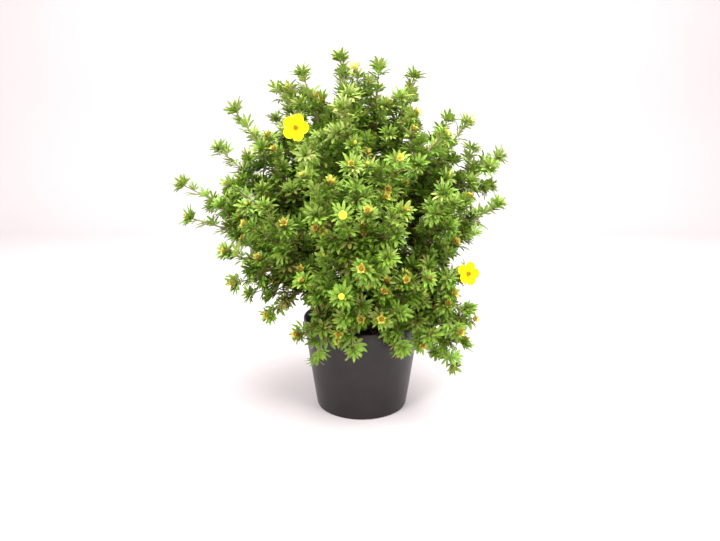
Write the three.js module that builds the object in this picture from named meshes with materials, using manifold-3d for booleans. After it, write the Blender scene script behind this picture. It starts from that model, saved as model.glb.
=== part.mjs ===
// Potted shrubby cinquefoil: a low leafy shrub with five-petalled yellow flowers, in a round nursery pot.
// Millimetres, +Z up. The origin is the middle of the pot's underside, and the shrub's front faces -Y.

import * as THREE from "three";
import { mergeVertices } from "three/addons/utils/BufferGeometryUtils.js";
import Module from "manifold-3d";

// Pot and soil
const POT_HEIGHT = 118;
const POT_BASE_RADIUS = 59;
const POT_RIM_RADIUS = 75;
const POT_WALL = 1.8;
const POT_FLOOR = 2.4;
const BAND_HEIGHT = 14;
const BAND_STEP = 1.4;
const EDGE_ROUND = 1.2;
const DRAIN_COUNT = 4;
const DRAIN_RADIUS = 4.5;
const DRAIN_CIRCLE = 44;
const SOIL_TOP = 98;
const SOIL_MOUND = [[36, 1.5], [0, 3]];
const SOIL_RIPPLE = 1.6;
const HOLE_DEPTH = 60;
const ROUND_SIDES = 28;
const CROWN_SIDES = 10;
const GAP = 0.3;

// Woody stems
const CROWN_RADIUS = 14;
const CROWN_TAPER = 0.8;
const CROWN_BOTTOM = 78;
const CROWN_TOP = 112;
const CROWN_SPREAD = 10.5;
const WIDE_TIP = 160;
const STEM_BASE_RADIUS = 2.6;
const STEM_END_RADIUS = 1.7;
const STEM_WOOD_SHARE = 0.48;
const STEM_LEAN = 0.3;
const STEM_LEAN_STEP = 0.06;
const STEM_RISE = 0.55;
const BRANCH_FIRST = 0.4;
const BRANCH_LAST = 0.2;
const BRANCH_ANGLE = 0.8;
const BRANCH_STEP = 0.05;
const BRANCH_BOW = 0.3;
const BRANCH_FOLLOW = 0.2;
const LOW_TIP = 125;
const LOW_LEAN = 0.5;
const RIM_CLEARANCE = 14;

// Leafy sprays
const TWIG_SIDES = 3;
const STEM_SIDES = 4;
const TWIG_STATIONS = [0, 0.3, 0.7, 0.79, 0.89, 1];
const BRANCH_STATIONS = [0, 0.4, 0.76, 0.84, 0.92, 1];
const TWIG_RADII = [1.4, 1.5, 2.2, 2.6, 2.4, 2];
const TUFT_RING = 2;
const TUFT_LENGTH = 14;
const TUFT_OPENING = 0.8;
const TUFT_SHRINK = 0.8;
const TUFT_SHORTEST = 0.25;
const ROOT_STEP = 0.5;
const SHOOT_STATIONS = [0, 0.5, 0.75, 1];
const SHOOT_RADII = [0.9, 1.6, 2.2, 1.8];
const SHOOT_TUFT_RING = 1;
const SHOOT_STARTS = [0.15, 0.6];
const SHOOT_TRIES = 5;
const SHOOT_SEED = 1000;
const SHOOT_LENGTHS = [24.8, 37.2];
const SHOOT_ANGLE = 0.95;
const SHOOT_TURN = 2.6;
const SHOOT_RETRY_TURN = 1.9;
const GOLDEN_ANGLE = Math.PI * (3 - Math.sqrt(5));

// Leaves. LEAFLETS holds the fingers of one hand as [angle from the midrib, share of the full length]
const LEAFLET_LENGTH = 15.5;
const LEAF_SCALES = [0.92, 1.08];
const NOTCH_RADIUS = 4.6;
const LEAF_ABOVE = 0.6;
const LEAF_BELOW = 0.9;
const LEAF_STALK = 11;
const LEAF_ARCH = 2.6;
const LEAFLETS = [[-1.35, 0.8], [-0.68, 0.95], [0, 1], [0.68, 0.95], [1.35, 0.8]];
const LAST_NOTCH = 1.75;
const LAST_NOTCH_SHARE = 0.7;
const LEAF_OPENING = 1;
const LEAF_TURN_PLAY = [0.4, 0.35];
const LEAF_OPENING_PLAY = [0.2, 0.08];
const LEAF_STARTS = [0.35, 0.6, -0.5];
const LEAF_SEED = 5000;
const LEAF_CLEARANCE = 0.4;
const LEAF_TRIES = 14;
const ROOT_VOLUME = 6;

// Flowers and calyces
const PETAL_COUNT = 5;
const PETAL_LENGTH = 14.5;
const PETAL_OUTLINE = [[-0.628, 0.2], [-0.5, 0.7], [-0.22, 1], [0.22, 1], [0.5, 0.7]];
const PETAL_THICKNESS = 1.6;
const EYE_RADIUS = 3.4;
const OPEN_SPREAD = 0.5;
const SEPAL_LENGTH = 5.2;
const SEPAL_NOTCH = 2.6;
const SEPAL_DIP = 0.6;
const CALYX_TOP = 0.8;
const CALYX_STALK = 9;
const CALYX_SINK = 2.2;
const TIP_SINK = 1.5;
const FLOWER_SEAT = 3.4;

// The shrub's stems. Each runs from the crown to its own tip and carries side branches to the other
// tips, all as [x, y, z]. "flower" or "calyx" names what a tip ends in.
const FRONT_STEMS = [
  [
    { tip: [-209, -30, 288], end: "calyx" },
    { tip: [-197, -50, 252], end: "calyx" },
  ],
  [
    { tip: [-167, -20, 329] },
    { tip: [-148, -62, 291], end: "calyx" },
  ],
  [
    { tip: [-148, -10, 372] },
    { tip: [-90, 22, 398] },
  ],
  [
    { tip: [-69, 0, 414] },
    { tip: [-66, -104, 355], end: "flower" },
  ],
  [
    { tip: [-25, 0, 431], end: "calyx" },
    { tip: [-20, -90, 374] },
    { tip: [-5, -12, 410], end: "flower" },
  ],
  [
    { tip: [20, 8, 422] },
    { tip: [-10, -140, 318], end: "calyx" },
  ],
  [
    { tip: [61, 0, 411], end: "calyx" },
    { tip: [90, -52, 345], end: "calyx" },
    { tip: [36, -104, 322], end: "flower" },
  ],
  [
    { tip: [123, -8, 359] },
    { tip: [164, 2, 318] },
  ],
  [
    { tip: [161, -22, 264] },
    { tip: [88, -96, 286] },
  ],
  [
    { tip: [118, -68, 192], end: "flower" },
    { tip: [119, -80, 153] },
  ],
  [
    { tip: [106, -80, 84] },
    { tip: [46, -92, 112] },
    { tip: [119, -76, 108] },
  ],
  [
    { tip: [-19, -149, 270], end: "flower" },
    { tip: [-56, -138, 305], end: "calyx" },
    { tip: [40, -138, 272], end: "calyx" },
    { tip: [26, -150, 228] },
  ],
  [
    { tip: [-20, -140, 184], end: "calyx" },
    { tip: [68, -118, 197], end: "calyx" },
    { tip: [40, -118, 160] },
    { tip: [-60, -130, 197], end: "calyx" },
  ],
  [
    { tip: [-146, -98, 222], end: "calyx" },
    { tip: [-102, -108, 272] },
    { tip: [-122, -56, 184] },
    { tip: [-106, -60, 163] },
  ],
  [
    { tip: [-52, -86, 94] },
    { tip: [-10, -101, 111] },
  ],
];

// The back is the same kind of growth, spread by rule: a high tip and two lower ones on each stem
const BACK_STEM_COUNT = 5;
const BACK_FIRST_AZIMUTH = 0.3;
const BACK_AZIMUTH_STEP = 0.63;
const BACK_TIPS = [
  { turn: 0, reach: 112, height: 362 },
  { turn: -0.22, reach: 158, height: 282 },
  { turn: 0.24, reach: 132, height: 182 },
];
const BACK_RISE = 26;

// Flowers that open wide, half or not at all, in the order of the "flower" tips, with where they face
const FLOWERS = [
  { name: "flower_upper_left", spread: 0.16, size: 1, facing: [-0.15, -1, 0.1] },
  { name: "flower_top", spread: 0.75, size: 0.75, facing: [-0.2, -0.35, 0.92] },
  { name: "flower_half_open", spread: 1.05, size: 0.6, facing: [0.2, -1, 0.3] },
  { name: "flower_right", spread: 0.3, size: 1, facing: [0.35, -0.95, 0.15] },
  { name: "bud_front", spread: 1.25, size: 0.5, facing: [0, -1, 0.3] },
];

const MATERIALS = {
  plastic: { color: 0x3d3a3c, roughness: 0.45, metalness: 0 },
  soil: { color: 0x3a2a1e, roughness: 1, metalness: 0 },
  wood: { color: 0x5a4030, roughness: 0.85, metalness: 0 },
  leaf: { color: 0x7d9a38, roughness: 0.6, metalness: 0 },
  petal: { color: 0xfff000, roughness: 0.55, metalness: 0 },
};

const UP = new THREE.Vector3(0, 0, 1);

const wasm = await Module();
wasm.setup();

// A repeatable stream of numbers from 0 to 1
function randomStream(seed) {
  let state = (seed * 2654435761) % 4294967296;
  return () => {
    state = (state * 1664525 + 1013904223) % 4294967296;
    return state / 4294967296;
  };
}

function between(random, [low, high]) {
  return low + (high - low) * random();
}

function vector(values) {
  return new THREE.Vector3(...values);
}

function closedSurface(points, triangles) {
  const geometry = new THREE.BufferGeometry().setFromPoints(points);
  geometry.setIndex(triangles);
  return geometry;
}

function toSolid(geometry) {
  geometry.deleteAttribute("normal");
  geometry.deleteAttribute("uv");
  const merged = mergeVertices(geometry, 1e-4);
  return new wasm.Manifold(
    new wasm.Mesh({
      numProp: 3,
      vertProperties: merged.attributes.position.array,
      triVerts: new Uint32Array(merged.index.array),
    }),
  );
}

function toMesh(solid, name, look) {
  const bodies = solid.decompose();
  const mesh = bodies.reduce((best, body) => (body.volume() > best.volume() ? body : best)).getMesh();
  const geometry = new THREE.BufferGeometry();
  geometry.setAttribute("position", new THREE.BufferAttribute(mesh.vertProperties, 3));
  geometry.setIndex(new THREE.BufferAttribute(mesh.triVerts, 1));
  geometry.computeVertexNormals();
  const result = new THREE.Mesh(geometry, new THREE.MeshStandardMaterial(MATERIALS[look]));
  result.name = name;
  return result;
}

// Axes of a frame whose third axis is `along`, with the first as level as it can be
function frameAlong(along) {
  const side = new THREE.Vector3().crossVectors(UP, along);
  if (side.lengthSq() < 1e-4) {
    side.set(1, 0, 0);
  }
  side.normalize();
  const lift = new THREE.Vector3().crossVectors(along, side).normalize();
  return [side, lift];
}

// A tube with a radius of its own at each station of a curve, closed at both ends. With a tuft, its
// faces from one ring on are drawn out into narrow young leaflets that lean towards the tip.
function taperedTube(curve, stations, radii, sides, tuft = null) {
  const points = [];
  const triangles = [];
  stations.forEach((station, ring) => {
    const centre = curve.getPoint(station);
    const [side, lift] = frameAlong(curve.getTangent(station));
    for (let k = 0; k < sides; k += 1) {
      const angle = (2 * Math.PI * (k + (ring % 2) / 2)) / sides;
      const point = centre.clone();
      point.addScaledVector(side, radii[ring] * Math.cos(angle));
      point.addScaledVector(lift, radii[ring] * Math.sin(angle));
      points.push(point);
    }
  });
  const lastRing = stations.length - 1;
  const addFace = (ring, a, b, c) => {
    const isCap = ring === lastRing;
    if (!tuft || ring < tuft.firstRing || (isCap && tuft.blunt)) {
      triangles.push(a, b, c);
      return;
    }
    const share = isCap ? 1 : (stations[ring] + stations[ring + 1]) / 2;
    const along = curve.getTangent(share);
    const base = points[a].clone().add(points[b]).add(points[c]).divideScalar(3);
    const outward = base.clone().sub(curve.getPoint(share));
    outward.addScaledVector(along, -outward.dot(along)).normalize();
    const opening = isCap ? 0 : TUFT_OPENING;
    const apex = base.addScaledVector(outward, tuft.length * Math.sin(opening));
    apex.addScaledVector(along, tuft.length * Math.cos(opening));
    const tip = points.push(apex) - 1;
    triangles.push(a, b, tip, b, c, tip, c, a, tip);
  };
  for (let ring = 0; ring < lastRing; ring += 1) {
    const shift = ring % 2;
    for (let k = 0; k < sides; k += 1) {
      const a = ring * sides + k;
      const b = ring * sides + ((k + 1) % sides);
      const c = a + sides;
      const d = b + sides;
      if (shift) {
        addFace(ring, a, b, d);
        addFace(ring, a, d, c);
      } else {
        addFace(ring, a, b, c);
        addFace(ring, b, d, c);
      }
    }
  }
  const last = lastRing * sides;
  for (let k = 1; k < sides - 1; k += 1) {
    triangles.push(0, k + 1, k);
    addFace(lastRing, last, last + k, last + k + 1);
  }
  return toSolid(closedSurface(points, triangles));
}

// The stretch of a curve between two shares of its length, as a curve of its own
function stretch(curve, from, to) {
  const points = [0, 0.25, 0.5, 0.75, 1].map((u) => curve.getPoint(from + (to - from) * u));
  return new THREE.CatmullRomCurve3(points);
}

// A thin blade between two hubs, one above and one below an outline that runs round them
function starBlade(outline, above, below) {
  const points = [new THREE.Vector3(0, 0, above), new THREE.Vector3(0, 0, -below), ...outline];
  const triangles = [];
  outline.forEach((_, k) => {
    const a = 2 + k;
    const b = 2 + ((k + 1) % outline.length);
    triangles.push(0, a, b, 1, b, a);
  });
  return closedSurface(points, triangles);
}

// One leaf: a hand of narrow leaflets round the origin, with its midrib along +Y and its stalk
// behind it. `grow` is how much it is enlarged all round.
function leafGeometry(scale, grow) {
  const polar = (angle, radius) => {
    const sag = -LEAF_ARCH * (radius / LEAFLET_LENGTH) ** 2;
    return new THREE.Vector3(radius * Math.sin(angle), radius * Math.cos(angle), sag);
  };
  const notch = NOTCH_RADIUS * scale + grow;
  const lastNotch = notch * LAST_NOTCH_SHARE;
  const outline = [polar(-LAST_NOTCH, lastNotch)];
  LEAFLETS.forEach(([angle, share], k) => {
    outline.push(polar(angle, LEAFLET_LENGTH * share * scale + grow));
    const next = LEAFLETS[k + 1];
    outline.push(next ? polar((angle + next[0]) / 2, notch) : polar(LAST_NOTCH, lastNotch));
  });
  outline.push(new THREE.Vector3(0, -LEAF_STALK - grow, 0));
  outline.reverse();
  return starBlade(outline, LEAF_ABOVE + grow, LEAF_BELOW + grow);
}

function leafPlacement(base, direction, normal) {
  const y = direction.clone().normalize();
  const z = normal.clone().addScaledVector(y, -normal.dot(y)).normalize();
  const x = new THREE.Vector3().crossVectors(y, z);
  const hub = base.clone().addScaledVector(y, LEAF_STALK);
  return new THREE.Matrix4().makeBasis(x, y, z).setPosition(hub);
}

// A spent flower or bud: five short sepals round a cone that runs down into the twig, along +Z
function calyxGeometry() {
  const outline = [];
  for (let k = 0; k < PETAL_COUNT; k += 1) {
    const angle = (2 * Math.PI * k) / PETAL_COUNT;
    const gap = angle + Math.PI / PETAL_COUNT;
    outline.push(new THREE.Vector3(SEPAL_LENGTH * Math.cos(angle), SEPAL_LENGTH * Math.sin(angle), 0));
    outline.push(new THREE.Vector3(SEPAL_NOTCH * Math.cos(gap), SEPAL_NOTCH * Math.sin(gap), -SEPAL_DIP));
  }
  return starBlade(outline, CALYX_TOP, CALYX_STALK);
}

// Five petals round +Z, over a base that reaches down to the calyx. `spread` is 0 for flat open
// petals and grows as they close.
function petalGeometry(size, spread) {
  const outline = [];
  for (let k = 0; k < PETAL_COUNT; k += 1) {
    for (const [turn, share] of PETAL_OUTLINE) {
      const angle = (2 * Math.PI * k) / PETAL_COUNT + turn;
      const reach = PETAL_LENGTH * size * share;
      const flat = reach * Math.cos(spread);
      const lift = reach * Math.sin(spread);
      outline.push(new THREE.Vector3(flat * Math.cos(angle), flat * Math.sin(angle), lift));
    }
  }
  return starBlade(outline, PETAL_THICKNESS / 2, FLOWER_SEAT - CALYX_TOP - GAP);
}

function placementFacing(point, facing) {
  const z = facing.clone().normalize();
  const [x, y] = frameAlong(z);
  return new THREE.Matrix4().makeBasis(x, y, z).setPosition(point);
}

function placed(geometry, matrix) {
  return toSolid(geometry.clone().applyMatrix4(matrix));
}

// Pot: one moulded shell with a broad band under its rim and drain holes in its floor
function potSolid() {
  const bandBottom = POT_HEIGHT - BAND_HEIGHT;
  const wallTop = POT_RIM_RADIUS - BAND_STEP;
  const outline = [
    [0, 0],
    [POT_BASE_RADIUS - EDGE_ROUND, 0],
    [POT_BASE_RADIUS, EDGE_ROUND],
    [wallTop, bandBottom],
    [POT_RIM_RADIUS, bandBottom + EDGE_ROUND],
    [POT_RIM_RADIUS, POT_HEIGHT - EDGE_ROUND],
    [POT_RIM_RADIUS - POT_WALL / 2, POT_HEIGHT],
    [POT_RIM_RADIUS - POT_WALL - BAND_STEP, POT_HEIGHT - EDGE_ROUND],
    [POT_BASE_RADIUS - POT_WALL, POT_FLOOR],
    [0, POT_FLOOR],
  ].map(([radius, height]) => new THREE.Vector2(radius, height));
  let pot = toSolid(new THREE.LatheGeometry(outline, ROUND_SIDES).rotateX(Math.PI / 2));
  for (let k = 0; k < DRAIN_COUNT; k += 1) {
    const angle = (2 * Math.PI * (k + 0.5)) / DRAIN_COUNT;
    const drill = new THREE.CylinderGeometry(DRAIN_RADIUS, DRAIN_RADIUS, 4 * POT_FLOOR, 6);
    drill.rotateX(Math.PI / 2);
    drill.translate(DRAIN_CIRCLE * Math.cos(angle), DRAIN_CIRCLE * Math.sin(angle), 0);
    pot = pot.subtract(toSolid(drill));
  }
  return pot;
}

function potInnerRadius(height) {
  const bottom = POT_BASE_RADIUS - POT_WALL;
  const top = POT_RIM_RADIUS - POT_WALL - BAND_STEP;
  const share = (height - POT_FLOOR) / (POT_HEIGHT - EDGE_ROUND - POT_FLOOR);
  return bottom + (top - bottom) * share;
}

// Soil: fills the pot, with a gently uneven top and a plain hole that the crown stands in
function soilSolid() {
  const bottom = POT_FLOOR + GAP;
  const facetInset = Math.cos(Math.PI / ROUND_SIDES);
  const outline = [
    [0, bottom],
    [(potInnerRadius(bottom) - GAP) * facetInset, bottom],
    [(potInnerRadius(SOIL_TOP) - 2 * GAP) * facetInset, SOIL_TOP],
    ...SOIL_MOUND.map(([radius, rise]) => [radius, SOIL_TOP + rise]),
  ].map(([radius, height]) => new THREE.Vector2(radius, height));
  const geometry = new THREE.LatheGeometry(outline, ROUND_SIDES).rotateX(Math.PI / 2);
  const position = geometry.attributes.position;
  for (let k = 0; k < position.count; k += 1) {
    if (position.getZ(k) > SOIL_TOP + GAP) {
      const wave = Math.sin(0.19 * position.getX(k)) + Math.cos(0.23 * position.getY(k));
      position.setZ(k, position.getZ(k) + SOIL_RIPPLE * wave);
    }
  }
  const holeRadius = CROWN_RADIUS + GAP;
  const hole = new THREE.CylinderGeometry(holeRadius, holeRadius, HOLE_DEPTH, CROWN_SIDES);
  hole.rotateX(Math.PI / 2);
  hole.translate(0, 0, CROWN_BOTTOM - GAP + HOLE_DEPTH / 2);
  return toSolid(geometry).subtract(toSolid(hole));
}

// Height of a curve's middle point that takes it over the pot's rim three quarters of the way along
function archOverRim(root, tip) {
  return (POT_HEIGHT + RIM_CLEARANCE - root.z / 16 - (9 / 16) * tip.z) * (8 / 3);
}

// A stem rises from the crown and bends outwards to its tip
function stemCurve(tip, index) {
  const azimuth = Math.atan2(tip.y, tip.x);
  const offset = CROWN_SPREAD * Math.min(1, Math.hypot(tip.x, tip.y) / WIDE_TIP);
  const root = new THREE.Vector3(offset * Math.cos(azimuth), offset * Math.sin(azimuth), CROWN_TOP - 3);
  const lean = STEM_LEAN + STEM_LEAN_STEP * (index % 3);
  const rise = STEM_RISE * (tip.z - root.z);
  const middle = new THREE.Vector3(tip.x * lean, tip.y * lean, root.z + rise);
  if (tip.z < LOW_TIP) {
    middle.set(tip.x * LOW_LEAN, tip.y * LOW_LEAN, archOverRim(root, tip));
  }
  return new THREE.QuadraticBezierCurve3(root, middle, tip.clone());
}

// A branch leaves its stem as far up as it can without turning off sharply
function branchCurve(parent, tip) {
  let share = BRANCH_FIRST;
  const angleAt = (at) => parent.getTangent(at).angleTo(tip.clone().sub(parent.getPoint(at)));
  while (share > BRANCH_LAST && angleAt(share) > BRANCH_ANGLE) {
    share -= BRANCH_STEP;
  }
  const root = parent.getPoint(share);
  const length = root.distanceTo(tip);
  const middle = root.clone().lerp(tip, BRANCH_BOW);
  middle.addScaledVector(parent.getTangent(share), BRANCH_FOLLOW * length);
  if (tip.z < LOW_TIP) {
    middle.z = archOverRim(root, tip);
  }
  return new THREE.QuadraticBezierCurve3(root, middle, tip.clone());
}

function allStems() {
  const stems = FRONT_STEMS.map((tips) => tips.map((entry) => ({ ...entry, tip: vector(entry.tip) })));
  for (let k = 0; k < BACK_STEM_COUNT; k += 1) {
    const azimuth = BACK_FIRST_AZIMUTH + BACK_AZIMUTH_STEP * k;
    const rise = k % 2 ? BACK_RISE : 0;
    stems.push(
      BACK_TIPS.slice(0, k % 2 ? 2 : 3).map(({ turn, reach, height }) => {
        const angle = azimuth + turn;
        return { tip: new THREE.Vector3(reach * Math.cos(angle), reach * Math.sin(angle), height + rise) };
      }),
    );
  }
  return stems;
}

// Everything placed so far, so that what comes later can be kept clear of it
const standing = [];

function boxOf(solid) {
  const { min, max } = solid.boundingBox();
  return new THREE.Box3(vector(min), vector(max));
}

function stand(node, solid) {
  standing.push({ node, solid, box: boxOf(solid) });
  return solid;
}

// Whether a solid meets something of another node
function touches(solid, node) {
  const box = boxOf(solid);
  const near = standing.filter((other) => other.node !== node && other.box.intersectsBox(box));
  return near.some((other) => !other.solid.intersect(solid).isEmpty());
}

// Whether a leaf or shoot cuts deep into its own spray, which its root alone doesn't
function crossesOwn(solid, node) {
  const box = boxOf(solid);
  const near = standing.filter((other) => other.node === node && other.box.intersectsBox(box));
  return near.some((other) => other.solid.intersect(solid).volume() > ROOT_VOLUME);
}

// A twig with its tuft, drawn in until it stands clear of every other spray
function tuftedTube(node, curve, stations, radii, firstRing, blunt) {
  const tubeOf = (length) =>
    taperedTube(curve, stations, radii, TWIG_SIDES, { firstRing, length, blunt });
  let length = TUFT_LENGTH;
  let tube = tubeOf(length);
  while (touches(tube, node) && length > TUFT_LENGTH * TUFT_SHORTEST) {
    length *= TUFT_SHRINK;
    tube = tubeOf(length);
  }
  return tube;
}

// One leaf on a twig, turned about it more and more freely until it stands clear of everything else
function growLeaf(node, base, along, azimuth, seed) {
  const random = randomStream(seed);
  const [side, lift] = frameAlong(along);
  for (let attempt = 0; attempt < LEAF_TRIES; attempt += 1) {
    const turnPlay = LEAF_TURN_PLAY[0] + LEAF_TURN_PLAY[1] * attempt;
    const tiltPlay = LEAF_OPENING_PLAY[0] + LEAF_OPENING_PLAY[1] * attempt;
    const turn = azimuth + (random() - 0.5) * turnPlay;
    const tilt = LEAF_OPENING + (random() - 0.5) * tiltPlay;
    const scale = between(random, LEAF_SCALES);
    const direction = along.clone().multiplyScalar(Math.cos(tilt));
    direction.addScaledVector(side, Math.cos(turn) * Math.sin(tilt));
    direction.addScaledVector(lift, Math.sin(turn) * Math.sin(tilt));
    const normal = along.clone().addScaledVector(UP, 0.5);
    const matrix = leafPlacement(base, direction, normal);
    const grown = placed(leafGeometry(scale, LEAF_CLEARANCE), matrix);
    if (touches(grown, node) || crossesOwn(grown, node)) {
      continue;
    }
    return stand(node, placed(leafGeometry(scale, 0), matrix));
  }
  return null;
}

// Shrub: the stems are one piece, and each spray continues a stem or leaves it as a branch
const wood = [];
const sprays = [];

function addStem(curve) {
  const middleRadius = (STEM_BASE_RADIUS + STEM_END_RADIUS) / 2;
  const radii = [STEM_BASE_RADIUS, middleRadius, STEM_END_RADIUS];
  const stem = taperedTube(curve, [0, STEM_WOOD_SHARE / 2, STEM_WOOD_SHARE], radii, STEM_SIDES);
  wood.push(stem);
  return stem;
}

// The part of a branch that lies outside its stem, with a gap between them
function outsideStem(curve, stem) {
  const length = curve.getLength();
  const radii = TWIG_RADII.map((radius) => radius + GAP);
  const meetsStem = (part) =>
    !taperedTube(part, BRANCH_STATIONS, radii, TWIG_SIDES).intersect(stem).isEmpty();
  let start = 0;
  let outside = curve;
  while (meetsStem(outside)) {
    start += ROOT_STEP;
    outside = stretch(curve, start / length, 1);
  }
  return outside;
}

function addSpray(curve, stations, entry) {
  const node = `spray_${String(sprays.length + 1).padStart(2, "0")}`;
  sprays.push({ node, curve, stations, entry, parts: [], index: sprays.length });
}

function addTwig({ node, curve, stations, entry, parts }) {
  const twig = tuftedTube(node, curve, stations, TWIG_RADII, TUFT_RING, Boolean(entry.end));
  parts.push(stand(node, twig));
}

// A calyx on the tip, with its flower just clear of it where it bears one
function addCalyx({ node, curve, entry, parts }, flower) {
  const along = curve.getTangent(1);
  const facing = flower ? vector(flower.facing).normalize() : along;
  const seat = entry.tip.clone().addScaledVector(along, -TIP_SINK);
  seat.addScaledVector(facing, CALYX_STALK - CALYX_SINK);
  const matrix = placementFacing(seat, facing);
  parts.push(stand(node, placed(calyxGeometry(), matrix)));
  return matrix;
}

function flowerSolid(matrix, { spread, size }) {
  const lifted = matrix.clone().multiply(new THREE.Matrix4().makeTranslation(0, 0, FLOWER_SEAT));
  const petals = placed(petalGeometry(size, spread), lifted);
  if (spread > OPEN_SPREAD) {
    return petals;
  }
  const eye = new THREE.SphereGeometry(EYE_RADIUS * size, 6, 3);
  eye.rotateX(Math.PI / 2).translate(0, 0, EYE_RADIUS * size * 0.6);
  return petals.add(placed(eye, lifted));
}

// A short side shoot that leaves the twig on its bare stretch and turns up along it
function shootCurve(curve, at, azimuth, length) {
  const along = curve.getTangent(at);
  const [side, lift] = frameAlong(along);
  const direction = along.clone().multiplyScalar(Math.cos(SHOOT_ANGLE));
  direction.addScaledVector(side, Math.cos(azimuth) * Math.sin(SHOOT_ANGLE));
  direction.addScaledVector(lift, Math.sin(azimuth) * Math.sin(SHOOT_ANGLE));
  const root = curve.getPoint(at);
  const middle = root.clone().addScaledVector(direction, length / 2);
  const end = root.clone().addScaledVector(direction, length).addScaledVector(along, length / 4);
  return new THREE.QuadraticBezierCurve3(root, middle, end);
}

function addShoots({ node, curve, stations, parts, index }) {
  const random = randomStream(SHOOT_SEED + index);
  const starts = stations === TWIG_STATIONS ? SHOOT_STARTS : SHOOT_STARTS.slice(1);
  starts.forEach((share, k) => {
    const at = stations[1] + (stations[TUFT_RING] - stations[1]) * share;
    for (let attempt = 0; attempt < SHOOT_TRIES; attempt += 1) {
      const azimuth = index + k * SHOOT_TURN + attempt * SHOOT_RETRY_TURN + random();
      const shoot = shootCurve(curve, at, azimuth, between(random, SHOOT_LENGTHS));
      const solid = tuftedTube(node, shoot, SHOOT_STATIONS, SHOOT_RADII, SHOOT_TUFT_RING, false);
      if (!touches(solid, node) && !crossesOwn(solid, node)) {
        parts.push(stand(node, solid));
        return;
      }
    }
  });
}

function addLeaves({ node, curve, stations, parts, index }) {
  LEAF_STARTS.forEach((share, k) => {
    const at = stations[1] + (stations[TUFT_RING] - stations[1]) * share;
    const seed = LEAF_SEED + index * LEAF_STARTS.length + k;
    const azimuth = k * GOLDEN_ANGLE + index;
    const leaf = growLeaf(node, curve.getPoint(at), curve.getTangent(at), azimuth, seed);
    if (leaf) {
      parts.push(leaf);
    }
  });
}

const crownHeight = CROWN_TOP - CROWN_BOTTOM;
const crownNeck = CROWN_RADIUS * CROWN_TAPER;
const crown = new THREE.CylinderGeometry(crownNeck, CROWN_RADIUS, crownHeight, CROWN_SIDES);
crown.rotateX(Math.PI / 2).translate(0, 0, CROWN_BOTTOM + crownHeight / 2);
wood.push(toSolid(crown));

allStems().forEach(([main, ...others], index) => {
  const curve = stemCurve(main.tip, index);
  const stem = addStem(curve);
  addSpray(stretch(curve, STEM_WOOD_SHARE + GAP / curve.getLength(), 1), TWIG_STATIONS, main);
  for (const other of others) {
    addSpray(outsideStem(branchCurve(curve, other.tip), stem), BRANCH_STATIONS, other);
  }
});

const fuse = (parts) => parts.reduce((whole, part) => whole.add(part));
const shrub = new THREE.Group();
shrub.add(toMesh(stand("pot", potSolid()), "pot", "plastic"));
shrub.add(toMesh(stand("soil", soilSolid()), "soil", "soil"));
shrub.add(toMesh(stand("woody_stems", fuse(wood)), "woody_stems", "wood"));

sprays.forEach(addTwig);
const flowers = [...FLOWERS];
for (const spray of sprays.filter(({ entry }) => entry.end)) {
  const flower = spray.entry.end === "flower" ? flowers.shift() : null;
  const matrix = addCalyx(spray, flower);
  if (flower) {
    shrub.add(toMesh(stand(flower.name, flowerSolid(matrix, flower)), flower.name, "petal"));
  }
}
sprays.forEach(addShoots);
sprays.forEach(addLeaves);
for (const { node, parts } of sprays) {
  shrub.add(toMesh(fuse(parts), node, "leaf"));
}

export default shrub;
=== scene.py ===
"""Looks of the potted shrubby cinquefoil, built round its CAD part.

Lengths are in millimetres up to make_piece(), which turns them into metres.
"""

import math

import bpy
import numpy as np
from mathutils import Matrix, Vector
from mathutils.bvhtree import BVHTree


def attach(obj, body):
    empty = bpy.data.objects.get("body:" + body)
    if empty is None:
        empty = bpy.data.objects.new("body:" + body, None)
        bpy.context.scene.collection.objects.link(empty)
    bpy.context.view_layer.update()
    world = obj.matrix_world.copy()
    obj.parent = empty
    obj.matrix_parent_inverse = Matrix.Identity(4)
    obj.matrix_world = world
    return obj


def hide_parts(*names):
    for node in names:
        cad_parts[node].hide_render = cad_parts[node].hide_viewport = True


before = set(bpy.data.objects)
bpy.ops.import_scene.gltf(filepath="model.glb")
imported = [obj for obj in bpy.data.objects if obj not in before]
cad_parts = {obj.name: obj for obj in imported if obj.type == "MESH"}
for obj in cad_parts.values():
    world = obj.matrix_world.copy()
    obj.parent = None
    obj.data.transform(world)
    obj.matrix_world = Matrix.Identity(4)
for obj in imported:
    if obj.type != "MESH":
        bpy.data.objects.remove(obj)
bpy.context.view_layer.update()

# Pot and soil
POT_HEIGHT = 118
POT_BASE_RADIUS = 59
POT_RIM_RADIUS = 75
POT_WALL = 1.8
POT_FLOOR = 2.4
BAND_HEIGHT = 14
BAND_STEP = 1.4
POT_SEGMENTS = 128
FOOT_ROUNDING = 1.6
BAND_ROUNDING = 0.8
RIM_ROUNDING = 0.9
SOIL_TOP = 98
SOIL_RADIUS = 68.8
SOIL_MOUND = 3
SOIL_WAVES = 0.9
SOIL_GRAIN = 0.9
SOIL_SIDE_GAP = 2.6
SOIL_FLOOR_GAP = 0.4
SOIL_RINGS = 26
SOIL_SEGMENTS = 72
CRUMBS = 420
CRUMB_FIELD = 66
CRUMB_SIZES = (0.8, 2.6)
CRUMB_STRETCH = (0.6, 1.3)

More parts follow.
